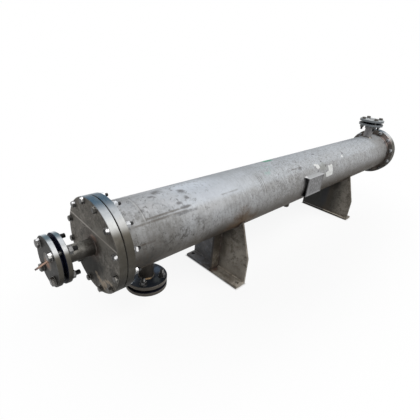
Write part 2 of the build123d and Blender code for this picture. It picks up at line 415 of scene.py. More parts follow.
def paint_near_end(coat, low_side):
    """Grime and specks, a painted highlight band and painted shade on the front end, and dark
    blots along the top.
    """
    near_end = coat.ramp(coat.x, -0.84, -1.12)
    coat.paint((0.212, 0.197, 0.172), 0.54, near_end, coat.level(0.13, 0.03))
    coat.paint((0.19, 0.185, 0.175), 0.6, near_end, coat.cloud(9.0, 0.42, 0.6))
    # Painted highlight: a pale band along the upper side of the front end
    near_highlight = coat.ramp(coat.x, -0.8, -0.98)
    near_highlight = coat.times(near_highlight, coat.level_band(0.112, 0.122, 0.016))
    coat.paint((0.64, 0.65, 0.67), 0.6, near_highlight, coat.cloud(11.0, 0.62, 0.44))
    speck_part = coat.ramp(coat.x, -0.55, -0.95)
    coat.paint((0.1, 0.097, 0.092), 0.65, speck_part, coat.cloud(60.0, 0.54, 0.61))
    # Painted shade on the lower side of the front end
    coat.paint((0.034, 0.029, 0.023), 0.84, near_end, low_side)
    # Painted shade on the lower shell next to the front flange
    neck_part = coat.ramp(coat.x, -0.99, -1.08)
    coat.paint((0.016, 0.014, 0.011), 0.6, neck_part, coat.level(0.02, -0.06))
    brown_specks = coat.cloud(34.0, 0.47, 0.6)
    coat.paint((0.125, 0.088, 0.056), 0.5, near_end, low_side, brown_specks)
    speckled = coat.spot((-0.9, -0.126, 0.37), (0.22, 0.07, 0.1), 0.5, 12.0, 0.8)
    coat.paint((0.1, 0.095, 0.087), 0.8, speckled, coat.cloud(25.0, 0.51, 0.6))
    for middle, reach in (
        ((-1.063, -0.064, 0.488), 0.012),
        ((-0.955, 0.006, 0.505), 0.02),
        ((-0.994, -0.017, 0.504), 0.012),
        ((-0.867, -0.029, 0.502), 0.018),
        ((-0.865, -0.062, 0.489), 0.013),
        ((-0.909, -0.075, 0.481), 0.01),
        ((-0.1, -0.088, 0.471), 0.016),
    ):
        blot = (1.4 * reach, reach, reach)
        coat.stain((0.15, 0.148, 0.15), 0.75, middle, blot, 0.9, 45.0, 0.8)


def paint_scrapes(coat):
    """Lines drawn along the shell, one of them a painted shadow of a nut, a seam near its front
    and scratches round it.
    """
    for line_y, line_z, start, stop, width, strength in (
        (-0.0915, 0.4675, -1.06, -0.875, 0.0052, 0.68),
        (-0.1, 0.4585, -1.11, -0.9, 0.0052, 0.64),
        # Painted shadow: this dark line is cast along the shell by a nut behind the front flange
        (-0.128, 0.402, -1.1, -1.058, 0.0056, 0.95),
        (-0.09, 0.469, -0.69, -0.61, 0.0045, 0.45),
        (-0.083, 0.4755, -0.2, -0.09, 0.006, 0.7),
    ):
        away = coat.distance((0, line_y, line_z), along_x)
        line = coat.ramp(away, width, 0.3 * width)
        line = coat.times(line, coat.band(coat.x, start, stop, 0.02))
        coat.paint((0.13, 0.115, 0.1), strength, line, coat.cloud(22.0, 0.34, 0.56))
    for middle, size in (
        ((-0.893, -0.091, 0.468), (0.03, 0.01, 0.01)),
        ((-0.9, -0.104, 0.454), (0.07, 0.009, 0.009)),
    ):
        coat.stain((0.15, 0.15, 0.155), 0.7, middle, size, 0.8, 40.0, 0.7)
    seam_height = coat.level_band(0.098, 0.126, 0.012)
    for start, stop, tone in (
        (-1.068, -1.064, (0.56, 0.56, 0.56)),
        (-1.0635, -1.0605, (0.17, 0.165, 0.16)),
    ):
        coat.paint(tone, 0.45, coat.band(coat.x, start, stop, 0.0012), seam_height)
    scratch_height = coat.level_band(0.06, 0.108, 0.02)
    for start in (-0.447, -0.437, -0.424):
        arc = coat.band(coat.x, start, start + 0.003, 0.0015)
        coat.paint((0.19, 0.185, 0.18), 0.62, arc, scratch_height)


def paint_stains(coat):
    """The burn at the front saddle, green paint, glue and dark marks."""
    burn = coat.stain(
        (0.168, 0.118, 0.075), 0.85, (-0.585, -0.118, 0.322), (0.15, 0.07, 0.095), 0.8, 18.0, 0.9
    )
    coat.paint((0.07, 0.042, 0.026), 0.8, burn, coat.cloud(28.0, 0.46, 0.58))
    green_size = (0.052, 0.032, 0.016)
    coat.stain((0.035, 0.27, 0.15), 0.9, (-0.235, 0.038, 0.5), green_size, 0.4, 60.0, 0.6)
    teal = coat.spot((-0.345, -0.045, 0.495), (0.07, 0.05, 0.03), 0.9, 40.0, 0.8)
    coat.paint((0.3, 0.47, 0.43), 0.75, teal, coat.cloud(55.0, 0.5, 0.58))
    glue_size = (0.05, 0.035, 0.034)
    coat.stain((0.325, 0.335, 0.315), 0.6, (0.125, -0.107, 0.449), glue_size, 0.7, 50.0, 0.5)
    marks = coat.spots(
        (0.6, 70.0, 0.7),
        (
            ((0.127, -0.085, 0.474), (0.016, 0.008, 0.007)),
            ((0.157, -0.106, 0.45), (0.01, 0.008, 0.012)),
            ((0.063, -0.115, 0.436), (0.014, 0.007, 0.008)),
            ((0.122, -0.03, 0.501), (0.02, 0.01, 0.006)),
            ((0.414, -0.078, 0.479), (0.016, 0.008, 0.008)),
        ),
    )
    coat.paint((0.13, 0.125, 0.13), 0.75, marks)


def paint_paper(coat):
    """What is left of a torn sticker: an upright, an arm and three scraps."""
    near_side = coat.ramp(coat.y, -0.085, -0.09)
    torn_x = coat.frayed(coat.x, 45.0, 0.006)
    torn_z = coat.frayed(coat.z, 38.0, 0.005)
    strips = [
        coat.times(coat.band(torn_x, *reach_x, 0.002), coat.band(torn_z, *reach_z, 0.002))
        for reach_x, reach_z in (
            ((0.181, 0.23), (0.392, 0.446)),
            ((0.149, 0.23), (0.391, 0.415)),
        )
    ]
    scraps = coat.spots(
        (0.5, 80.0, 0.16),
        (
            ((0.073, -0.101, 0.456), (0.019, 0.016, 0.014)),
            ((0.052, -0.092, 0.467), (0.014, 0.007, 0.007)),
            ((0.391, -0.092, 0.467), (0.011, 0.008, 0.008)),
        ),
    )
    paper = coat.most(coat.times(coat.most(*strips), near_side), scraps)
    coat.paint((0.86, 0.87, 0.86), 0.95, paper)
    coat.paint((0.52, 0.52, 0.51), 0.6, paper, coat.cloud(70.0, 0.5, 0.64))
    coat.dull(paper, 0.0)


def make_shell_finish():
    coat = Coat("mottled_shell_steel", (0.475, 0.485, 0.5), 0.52, 0.22, 0.08)
    low_side = paint_shell_tones(coat)
    paint_near_end(coat, low_side)
    paint_scrapes(coat)
    paint_stains(coat)
    paint_paper(coat)
    coat.surface(300.0, 0.16, 0.0006, (0.35, 0.7, 0.64), (0.35, 1.0, 1.0))
    return coat.close()


def paint_rim_reflections(coat, rim, radius, bright, highlight_tone, sky_reflection_start, sky_reflection_tone):
    """Painted reflections on a turned rim: a grey-blue sky reflection on top, a pale highlight
    band below that, dark brown lower, partly grease and partly painted shade, and painted shade
    underneath.
    """

    def level(low, high):
        return coat.level(low * radius, high * radius)

    coat.paint(bright, 0.97, rim)
    coat.paint(highlight_tone, 0.9, rim, level(0.76, 0.9))
    coat.paint(sky_reflection_tone, 1.0, rim, level(sky_reflection_start, 1.006))
    coat.paint((0.06, 0.054, 0.043), 0.97, rim, level(0.79, 0.55))
    coat.paint((0.15, 0.145, 0.135), 0.3, rim, coat.cloud(20.0, 0.46, 0.66))
    coat.roughen(rim, 0.52)
    coat.dull(rim, 0.95)
    # Painted shade on the underside of the rim
    rim_underside_shade = coat.times(rim, level(-0.05, -0.42))
    coat.paint((0.026, 0.023, 0.019), 0.8, rim_underside_shade)
    coat.dull(rim_underside_shade, 0.2)


def make_body_rim_finish(name, face_colour, bright):
    """Disc with dull stained faces and a turned rim with painted reflections."""
    coat = Coat(name, face_colour, 0.55, 0.35, 0.05)
    coat.mottle(
        (9.0, 0.4, 0.66, shade(face_colour, 0.6), 0.8),
        (26.0, 0.5, 0.62, shade(face_colour, 1.6), 0.6),
        (50.0, 0.5, 0.6, shade(face_colour, 0.3), 0.72),
        (85.0, 0.45, 0.37, shade(face_colour, 2.2), 0.75),
    )
    rim = rim_mask(coat, coat.distance(shell_axis, along_x), body_flange_radius)
    highlight_tone, sky_reflection_tone = (0.42, 0.445, 0.47), (0.014, 0.05, 0.084)
    paint_rim_reflections(coat, rim, body_flange_radius, bright, highlight_tone, 0.895, sky_reflection_tone)
    coat.surface(600.0, 0.14, 0.0005, (0.45, 0.75, 0.5), (1.0, 0.06, 0.06))
    return coat


def paint_heat(coat, colour, reach, scale):
    """Heat tint round a weld on the axis of the vessel."""
    heat = coat.ramp(coat.distance(shell_axis, along_x), *reach)
    coat.paint(colour, 0.7, heat, coat.cloud(scale, 0.34, 0.6))


def make_cover_finish():
    coat = make_body_rim_finish("stained_cover_steel", (0.23, 0.212, 0.185), (0.43, 0.44, 0.44))
    front = coat.ramp(coat.x, front_x + 0.0005, front_x - 0.0005)
    # The first dark spot, below the axial nozzle, is partly grease and partly painted shadow of
    # the nozzle
    grease_and_shadow, low_grease, _, _ = (
        coat.stain(colour, strength, (front_x, y, z), (0.05, *size), *edge)
        for colour, strength, y, z, size, edge in (
            ((0.02, 0.019, 0.017), 0.9, 0.008, 0.312, (0.09, 0.095), (0.9, 18.0, 0.8)),
            ((0.018, 0.017, 0.014), 0.9, 0.056, 0.262, (0.092, 0.088), (0.8, 22.0, 0.6)),
            ((0.48, 0.45, 0.4), 0.88, -0.072, 0.434, (0.082, 0.056), (0.7, 26.0, 0.8)),
            ((0.05, 0.046, 0.04), 0.7, -0.128, 0.325, (0.028, 0.05), (0.9, 40.0, 0.7)),
        )
    )
    coat.dull(coat.most(grease_and_shadow, low_grease), 0.1)
    scratch_line = {
        "Vector": coat.place,
        "Location": (0.0, 0.0, 0.436),
        "Rotation": (math.radians(2.0), 0.0, 0.0),
    }
    turned = add_node(coat.tree, "Mapping", scratch_line, vector_type="TEXTURE")["Vector"]
    away = coat.unsigned(add_node(coat.tree, "SeparateXYZ", {0: turned})[2])
    scratch = coat.ramp(away, 0.004, 0.0018)
    coat.paint((0.97, 0.91, 0.83), 0.95, scratch, front)
    paint_heat(coat, (0.1, 0.062, 0.048), (0.07, 0.034), 22.0)
    # Painted highlight: a pink patch above the neck
    pink_highlight_size = (0.04, 0.026, 0.014)
    coat.stain((0.52, 0.36, 0.3), 0.8, (front_x, -0.012, 0.412), pink_highlight_size, 0.7, 60.0, 0.6)
    ochre_runs = coat.spots(
        (0.55, 90.0, 0.45),
        [
            ((front_x, y, z), (0.03, reach_y, reach_z))
            for y, z, reach_y, reach_z in (
                (-0.014, 0.2735, 0.012, 0.0085),
                (-0.026, 0.264, 0.014, 0.011),
                (-0.04, 0.2565, 0.016, 0.0125),
                (-0.054, 0.2495, 0.017, 0.016),
                (-0.069, 0.26, 0.018, 0.015),
                (-0.061, 0.2385, 0.009, 0.008),
                (-0.084, 0.2795, 0.015, 0.0062),
                (-0.099, 0.287, 0.014, 0.0055),
                (-0.112, 0.2855, 0.011, 0.0055),
            )
        ],
    )
    coat.paint(ochre, 0.9, ochre_runs, front)
    return coat.close()


def make_flange_finish():
    face_colour, bright = (0.155, 0.139, 0.125), (0.35, 0.355, 0.355)
    coat = make_body_rim_finish("turned_shell_flange", face_colour, bright)
    paint_heat(coat, (0.085, 0.052, 0.042), (0.152, 0.136), 16.0)
    # Painted highlight: a pinkish patch on the upper near side of the rear flange face
    pink_highlight_place = (shell_flange_back_x, -0.098, 0.488)
    coat.stain((0.5, 0.41, 0.385), 0.6, pink_highlight_place, (0.02, 0.056, 0.048), 0.9, 45.0, 0.7)
    return coat.close()


def make_nozzle_finish(name, centre, across, face_colour, rim_colour, neck_colour):
    """Small flanges and their necks: turned rims, with painted reflections where no rim colour is
    given, dull faces, dark joints, stained necks.
    """
    coat = Coat(name, face_colour, 0.5, 0.45, 0.05)
    coat.mottle((18.0, 0.4, 0.66, shade(face_colour, 0.6), 0.8))
    distance = coat.distance(centre, across)
    rim = rim_mask(coat, distance, nozzle_flange_radius)
    if rim_colour is None:
        bright, highlight_tone = (0.5, 0.51, 0.515), (0.53, 0.56, 0.585)
        sky_reflection_tone = (0.055, 0.09, 0.11)
        paint_rim_reflections(coat, rim, nozzle_flange_radius, bright, highlight_tone, 0.94, sky_reflection_tone)
    else:
        coat.paint(rim_colour, 0.92, rim)
        coat.roughen(rim, 0.36)
    coat.paint(neck_colour, 0.9, neck_mask(coat, distance))
    if across == along_x:
        outward, joint_reach = coat.x, axial_joint
    else:
        outward = add_math(coat.tree, "SUBTRACT", coat.z, axis_height)
        joint_reach = radial_joint
    joint = coat.band(coat.unsigned(outward), *joint_reach, joint_soft)
    coat.paint(gap_shade, 0.95, joint)
    coat.dull(joint, 0.0)
    coat.surface(520.0, 0.14, 0.0005, (0.42, 0.75, 0.56))
    return coat


def make_axial_finish():
    face_colour, neck_colour = (0.046, 0.044, 0.041), (0.175, 0.166, 0.15)
    coat = make_nozzle_finish(
        "turned_axial_nozzle", shell_axis, along_x, face_colour, None, neck_colour
    )
    outward = coat.unsigned(coat.x)
    neck = coat.times(
        neck_mask(coat, coat.distance(shell_axis, along_x)),
        coat.ramp(outward, axial_flange_back_x + 0.001, axial_flange_back_x - 0.001),
    )
    # Painted highlight along the top of the neck
    coat.paint((0.36, 0.35, 0.32), 0.75, neck, coat.level(0.002, 0.016))
    coat.paint((0.085, 0.078, 0.068), 0.7, neck, coat.cloud(38.0, 0.44, 0.58))
    # Painted shade on the underside of the neck
    coat.paint((0.034, 0.031, 0.027), 0.85, neck, coat.level(0.012, -0.016))
    burn = coat.ramp(outward, cover_face_x + 0.05, cover_face_x + 0.014)
    coat.paint((0.04, 0.033, 0.028), 0.6, neck, burn)
    joint = coat.band(outward, *axial_joint, joint_soft)
    coat.paint((0.04, 0.046, 0.085), 1.0, joint, coat.level(-0.03, 0.03))
    vent_foot = (-axial_blind_face_x, 0.004, 0.364)
    coat.stain((0.42, 0.25, 0.18), 0.85, vent_foot, (0.02, 0.026, 0.022), 0.5, 60.0, 0.7)
    return coat.close()


def make_bottom_finish():
    coat = make_nozzle_finish(
        "painted_bottom_nozzle",
        (-radial_nozzle_x, 0, 0),
        along_z,
        (0.026, 0.032, 0.043),
        (0.112, 0.1, 0.086),
        (0.07, 0.062, 0.053),
    )
    back = axis_height - radial_flange_back
    # Painted reflections: bluish sheens on the flange back on both sides of the neck, and a grey
    # one towards its front
    for x, y, reach, tone in (
        (-0.944, -0.003, 0.03, (0.066, 0.094, 0.136)),
        (-1.06, 0.004, 0.018, (0.085, 0.112, 0.15)),
        (-0.983, -0.054, 0.024, (0.062, 0.07, 0.074)),
    ):
        coat.stain(tone, 0.85, (x, y, back), (reach, reach, 0.004), 0.9, 50.0, 0.7)
    return coat.close()


def make_top_finish():
    return make_nozzle_finish(
        "dull_top_nozzle",
        (radial_nozzle_x, 0, 0),
        along_z,
        (0.44, 0.465, 0.48),
        (0.17, 0.185, 0.196),
        (0.26, 0.25, 0.25),
    ).close()


def make_saddle_finish():
    coat = Coat("weathered_saddle_plate", (0.46, 0.42, 0.365), 0.66, 0.3)
    coat.mottle(
        (9.5, 0.4, 0.62, (0.24, 0.212, 0.175), 0.85),
        (29.0, 0.48, 0.6, (0.12, 0.104, 0.084), 0.7),
        (15.0, 0.52, 0.64, (0.105, 0.076, 0.052), 0.75),
    )
    # Painted shade: the far half of each saddle, shaded by the shell and the rib, is dark bluish,
    # with paler flecks
    shaded_far_half = coat.ramp(coat.y, -0.004, 0.008)
    coat.paint((0.125, 0.132, 0.148), 0.8, shaded_far_half)
    coat.paint((0.3, 0.32, 0.355), 0.55, shaded_far_half, coat.cloud(48.0, 0.52, 0.62))
    # Painted shade: the rear saddle is darker, most of all away from its near edge
    rear = coat.ramp(coat.x, 0.0, 0.1)
    coat.paint((0.1, 0.09, 0.075), 0.35, rear)
    coat.paint((0.026, 0.026, 0.023), 0.82, rear, coat.ramp(coat.y, -0.14, -0.03))
    outward = coat.unsigned(coat.x)
    web_face = coat.ramp(outward, saddle_web_x + 0.008, saddle_web_x + 0.002)
    # Painted shade on the web on both sides of the rib
    for colour, strength, side, height in (
        ((0.075, 0.063, 0.05), 0.55, (-0.026, -0.004, 0.03), (0.01, 0.014)),
        ((0.045, 0.047, 0.052), 0.65, (0.006, 0.03, 0.02), (0.03, 0.09)),
    ):
        rib_shadow = coat.times(coat.band(coat.y, *side), coat.ramp(coat.z, *height))
        coat.paint(colour, strength, rib_shadow, web_face)
    # Painted shade on the web just under the shell, near its middle
    shade_under_shell = coat.ramp(coat.distance(shell_axis, along_x), 0.205, 0.145)
    middle = coat.ramp(coat.unsigned(coat.y), 0.085, 0.05)
    coat.paint((0.02, 0.018, 0.015), 0.8, shade_under_shell, middle)
    front = coat.ramp(coat.x, 0.1, 0.0)
    near_half = coat.times(front, coat.ramp(coat.y, -0.004, -0.03))
    coat.paint((0.5, 0.46, 0.4), 0.68, near_half, coat.ramp(coat.z, 0.11, 0.03))
    # Painted shade on the upper near half, under the shell
    coat.paint((0.1, 0.088, 0.072), 0.55, near_half, coat.ramp(coat.z, 0.15, 0.25))
    rib = coat.band(coat.y, -0.0056, 0.0056, 0.0004)
    rib = coat.times(rib, coat.ramp(outward, 0.5668, 0.5675))
    coat.paint((0.105, 0.084, 0.06), 0.75, rib, coat.cloud(14.0, 0.36, 0.62))
    # Painted shade on the upper rib, under the shell
    coat.paint((0.07, 0.06, 0.048), 0.72, rib, coat.ramp(coat.z, 0.075, 0.15))
    coat.paint((0.045, 0.042, 0.04), 0.85, rib, coat.ramp(outward, 0.6145, 0.6158))
    rust_size = (0.03, 0.02, 0.012)
    coat.stain((0.2, 0.105, 0.082), 0.75, (-0.6, -0.014, 0.014), rust_size, 0.7, 60.0, 0.7)
    foot = coat.ramp(coat.z, 0.04, 0.01)
    coat.paint((0.085, 0.06, 0.04), 0.5, foot, coat.cloud(15.0, 0.42, 0.62))
    coat.surface(260.0, 0.25, 0.0008, (0.42, 0.75, 0.75))
    return coat.close()


def make_saddle_weld_finish():
    coat = Coat("brushed_saddle_weld", (0.62, 0.57, 0.49), 0.6, 0.3)
    coat.mottle((24.0, 0.46, 0.66, (0.3, 0.26, 0.21), 0.85))
    # Painted shade on the far half, as on the saddle plates
    coat.paint((0.1, 0.105, 0.115), 0.8, coat.ramp(coat.y, -0.004, 0.008))
    coat.surface(700.0, 0.2, 0.0004)
    return coat.close()


def make_weld_finish():
    coat = Coat("stained_weld_bead", (0.13, 0.12, 0.108), 0.5, 0.6)
    coat.mottle(
        (30.0, 0.38, 0.6, weld_brown, 0.85),
        (70.0, 0.54, 0.68, (0.24, 0.22, 0.2), 0.5),
    )
    # Painted highlights: a pink one on the rear shell flange weld, an ochre sheen on the bottom
    # neck weld and a pale one on the top neck weld
    for middle, size, tone in (
        ((1.148, -0.085, 0.47), (0.02, 0.06, 0.06), (0.55, 0.45, 0.42)),
        ((-1.01, -0.026, 0.159), (0.022, 0.016, 0.012), (0.66, 0.47, 0.28)),
        ((0.984, -0.027, 0.503), (0.016, 0.012, 0.012), (0.56, 0.53, 0.44)),
    ):
        coat.stain(tone, 0.85, middle, size, 0.5, 60.0, 0.5)
    coat.surface(700.0, 0.2, 0.0004)
    return coat.close()


def make_gasket_finish():
    coat = Coat("gasket_sheet", (0.014, 0.015, 0.022), 0.8, 0.0)
    coat.mottle((40.0, 0.4, 0.66, (0.026, 0.026, 0.032), 0.8))
    coat.surface(900.0, 0.2, 0.0003)
    return coat.close()


def make_bolt_finish(name, colour, stain, roughness=0.36, glint_spots=()):
    coat = Coat(name, colour, roughness, 0.9)
    coat.mottle((45.0, 0.42, 0.66, stain, 0.75))
    outward = coat.unsigned(coat.x)
    skin = 0.0006
    for face, size in ((cover_face_x, m12), (axial_blind_face_x, m16)):
        head_top = face + size["washer_height"] + size["head"]
        top_face = coat.band(outward, head_top - skin, head_top + skin, skin)
        coat.paint((0.052, 0.049, 0.045), 0.85, top_face)
    # Painted glints on the given facets
    if glint_spots:
        coat.paint((0.92, 0.92, 0.93), 0.95, coat.spots((0.2, 90.0, 0.3), glint_spots))
    coat.surface(800.0, 0.15, 0.0003, (0.4, 0.72, 0.5))
    return coat.close()


def make_plate_finish():
    coat = Coat("bare_name_plate", (0.19, 0.19, 0.193), 0.45, 0.5)
    coat.mottle(
        (26.0, 0.4, 0.66, (0.15, 0.15, 0.153), 0.8),
        (60.0, 0.5, 0.62, (0.29, 0.29, 0.295), 0.7),
        (75.0, 0.44, 0.36, (0.085, 0.085, 0.088), 0.7),
    )
    rubbed = coat.grain(1500.0, (1.0, 1.0, 0.35))["Streak"]
    outer = coat.ramp(coat.z, bracket_top - 0.0026, bracket_top - 0.0012)
    for colour, strength, value, low, high in (
        ((0.38, 0.38, 0.385), 0.6, rubbed, 0.52, 0.62),
        ((0.07, 0.07, 0.072), 0.5, rubbed, 0.48, 0.38),
        ((0.095, 0.088, 0.08), 0.6, coat.x, 0.04, 0.072),
        ((0.3, 0.3, 0.305), 0.5, coat.x, -0.06, -0.085),
        ((0.38, 0.38, 0.385), 0.6, coat.z, 0.343, 0.333),
        # Painted shade: the bracket behind the plate face is dark
        ((0.02, 0.02, 0.02), 0.9, coat.y, plate_face_y + 0.0035, plate_face_y + 0.0042),
    ):
        coat.paint(colour, strength, coat.ramp(value, low, high))
    # Painted light: the top of the bracket is lighter, as lit from above
    coat.paint((0.5, 0.51, 0.52), 0.95, outer)
    # Painted highlight along the front edge of the bracket top
    lip_highlight = coat.ramp(coat.y, plate_face_y + 0.0045, plate_face_y + 0.002)
    coat.paint((0.66, 0.67, 0.69), 0.9, outer, lip_highlight)
    # Painted glint at the top left corner of the bracket
    corner_glint = (-0.077, -0.121, bracket_top)
    coat.stain((0.95, 0.95, 0.95), 0.95, corner_glint, (0.016, 0.014, 0.008), 0.3, 60.0, 0.4)
    coat.surface(500.0, 0.12, 0.0003, (0.4, 0.72, 0.55), (0.06, 1.0, 1.0))
    return coat.close()


def make_copper_finish():
    coat = Coat("tarnished_copper", (0.52, 0.36, 0.28), 0.35, 0.85)
    coat.mottle((60.0, 0.4, 0.64, (0.3, 0.17, 0.12), 0.6))
    coat.paint((0.1, 0.085, 0.09), 0.9, coat.ramp(coat.x, -1.372, -1.386))
    coat.surface(900.0, 0.15, 0.0003)
    return coat.close()


saddle_finish = make_saddle_finish()
weld_finish = make_weld_finish()
saddle_weld_finish = make_saddle_weld_finish()
plate_finish = make_plate_finish()
# Painted glints on single facets of heads and nuts
head_glints = (
    ((-1.2125, -0.118, 0.489), (0.007, 0.0062, 0.007)),
    ((-1.2125, -0.1585, 0.418), (0.0064, 0.0048, 0.0062)),
    ((-1.212, 0.0401, 0.534), (0.007, 0.008, 0.0036)),
    ((-1.214, 0.102, 0.4925), (0.008, 0.008, 0.0052)),
    ((-1.356, -0.051, 0.431), (0.007, 0.008, 0.0048)),
    ((-1.356, 0.0442, 0.4325), (0.007, 0.008, 0.004)),
)
nut_glints = (
    ((-1.1375, -0.158, 0.4175), (0.0075, 0.008, 0.009)),
    ((-1.1375, -0.153, 0.344), (0.0075, 0.0085, 0.006)),
)
# The dark nut finish, which the shanks share, stands partly for shade: the nozzle nuts and the low
# nuts of the rear cover take it as painted shade
head_finish, glint_head_finish, dark_nut_finish, nut_finish, glint_nut_finish = (
    make_bolt_finish(*row)
    for row in (
        ("bolt_head_steel", (0.135, 0.13, 0.122), (0.06, 0.055, 0.048), 0.3),
        ("zinc_head_painted_glints", (0.21, 0.208, 0.205), (0.1, 0.097, 0.092), 0.26, head_glints),
        ("dark_shaded_nut", (0.1, 0.1, 0.1), (0.035, 0.034, 0.033)),
        ("zinc_nut", (0.46, 0.475, 0.495), (0.24, 0.24, 0.245)),
        ("nut_painted_glints", (0.17, 0.17, 0.172), (0.08, 0.078, 0.075), 0.3, nut_glints),
    )
)

# Each node takes the finish of the first word that its name has in it
node_finishes = {
    "gasket": make_gasket_finish(),
    "cover": make_cover_finish(),
    "shell_flange": make_flange_finish(),
    "axial": make_axial_finish(),
    "bottom": make_bottom_finish(),
    "top": make_top_finish(),
    "saddle": saddle_finish,
    "drain": saddle_finish,
    "nameplate": plate_finish,
    "copper": make_copper_finish(),
    "shell": make_shell_finish(),
}
for node_name, node in nodes.items():
    word = next(word for word in node_finishes if word in node_name)
    node.data.materials.clear()
    node.data.materials.append(node_finishes[word])


# Modelling helpers

smooth_angle = math.radians(32)
flat_on = 0.9
edge_ease = 0.0005
washer_sides = 24
shank_sides = 14
thread_root = 0.86
bead_sides = 8
bead_draw = 0.8
up = Vector((0, 0, 1))


def pick(*pieces):
    """Selects these pieces alone and makes the first one active."""
    bpy.ops.object.select_all(action="DESELECT")
    for piece in pieces:
        piece.select_set(True)
    bpy.context.view_layer.objects.active = pieces[0]


def bake_place():
    bpy.ops.object.transform_apply(location=True, rotation=True, scale=True)


def turn_to(direction):
    """The turn that takes Z to a direction."""
    return up.rotation_difference(Vector(direction)).to_matrix().to_4x4()


def keep_piece(piece, name, finish):
    """Names a finished piece, puts its place into its mesh and fixes it to the vessel."""
    pick(piece)
    bake_place()
    piece.name = name
    piece.data.name = name
    if finish is not None:
        piece.data.materials.clear()
        piece.data.materials.append(finish)
    bpy.ops.object.shade_smooth_by_angle(angle=smooth_angle)
    piece.select_set(False)
    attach(piece, "root")
    return piece


def select_faces(piece, test):
    """Selects, in edit mode, the faces whose lean along Z passes the test."""
    bpy.ops.object.mode_set(mode="EDIT")
    bpy.ops.mesh.select_mode(type="FACE")
    bpy.ops.mesh.select_all(action="DESELECT")
    bpy.ops.object.mode_set(mode="OBJECT")
    for polygon in piece.data.polygons:
        polygon.select = test(polygon.normal.z)
    bpy.ops.object.mode_set(mode="EDIT")


def add_cylinder(sides, radius, low, high):
    """A cylinder along Z between two heights."""
    bpy.ops.mesh.primitive_cylinder_add(
        vertices=sides, radius=radius, depth=high - low, location=(0, 0, (low + high) / 2)
    )
    return bpy.context.object


def hex_block(across, height, middle, crowned_both):
    """A six-sided head or nut with its corners turned off."""
    corner = across / math.sqrt(3)
    bpy.ops.mesh.primitive_cylinder_add(
        vertices=6, radius=corner, depth=height, location=(0, 0, middle)
    )
    block = bpy.context.object
    select_faces(block, lambda lean: lean > flat_on or (crowned_both and lean < -flat_on))
    bpy.ops.mesh.inset(thickness=0.09 * across, depth=0.0)
    bpy.ops.object.mode_set(mode="OBJECT")
    half = height / 2
    for vertex in block.data.vertices:
        outer = math.hypot(vertex.co.x, vertex.co.y) > corner - 0.0005
        if outer and (vertex.co.z > 0 or crowned_both):
            vertex.co.z *= (half - 0.06 * across) / half
    return block


def washer_block(radius, low, high):
    """A washer with its edges eased."""
    block = add_cylinder(washer_sides, radius, low, high)
    select_faces(block, lambda lean: abs(lean) > flat_on)
    bpy.ops.mesh.bevel(offset=edge_ease, segments=1, affect="EDGES")
    bpy.ops.object.mode_set(mode="OBJECT")
    return block


def draw_end(length, shrink):
    """Draws the selected end face on along Z and scales it."""
    bpy.ops.mesh.extrude_region_move(TRANSFORM_OT_translate={"value": (0, 0, -length)})
    bpy.ops.transform.resize(value=(shrink, shrink, 1.0))


def model_bolt(size, grip, nut_look, headed=True):
    """A bolt along Z with its head up, or a stud, round plates from Z = 0 down to Z = -grip."""
    parts = []
    washer_height = size["washer_height"]
    if headed:
        head_middle = washer_height + size["head"] / 2
        parts += [
            (washer_block(size["washer"], 0.0, washer_height), head_finish),
            (hex_block(size["across"], size["head"], head_middle, False), head_finish),
        ]
    nut_top = -grip - washer_height
    nut_middle = nut_top - size["nut"] / 2
    parts += [
        (washer_block(size["washer"], nut_top, -grip), nut_look),
        (hex_block(size["across"], size["nut"], nut_middle, True), nut_look),
    ]
    thread_start = nut_top - size["nut"] + 0.001
    shank = add_cylinder(shank_sides, size["shank"], thread_start, 0)
    parts.append((shank, dark_nut_finish))
    select_faces(shank, lambda lean: lean < -flat_on)
    for turn in range(size["turns"]):
        for shrink in (thread_root, 1 / thread_root):
            draw_end(size["pitch"] / 2, shrink)
    draw_end(0.0012, 0.82)
    bpy.ops.object.mode_set(mode="OBJECT")
    for part, look in parts:
        part.data.materials.append(look)
    pick(*(part for part, look in parts))
    bpy.ops.object.join()
    bake_place()
    return bpy.context.object


def set_bolts(prefix, pattern, centre, outward, circle, count):
    """Copies the pattern bolt round a bolt circle, each turned a little differently."""
    stand = Matrix.Translation(centre) @ turn_to(outward)
    for index in range(count):
        angle = (index + 0.5) * 2 * math.pi / count
        pick(pattern)
        bpy.ops.object.duplicate(linked=False)
        bolt = bpy.context.object
        spin = Matrix.Rotation(dice.uniform(0, math.pi / 3), 4, "Z")
        step = Matrix.Translation((circle * math.cos(angle), circle * math.sin(angle), 0))
        bolt.matrix_world = stand @ step @ spin
        place = bolt.matrix_world.translation
        looks = bolt.data.materials
        above = place.z - axis_height
        # Painted glints: some front cover and front axial heads, and the front cover nuts far on
        # the near side, take the finishes with glints
        if prefix == "front_cover":
            if (place.y < -0.1 and above > 0) or (place.y > 0 and above > 0.08):
                looks[0] = glint_head_finish
            if place.y < -0.14:
                looks[1] = glint_nut_finish
        elif prefix == "front_axial" and above > 0:
            looks[0] = glint_head_finish
        # Painted shade: the low nuts of the rear cover take the dark nut finish
        elif prefix == "rear_cover" and above < -0.08:
            looks[1] = dark_nut_finish
        keep_piece(bolt, f"{prefix}_bolt_{index + 1:02d}", None)


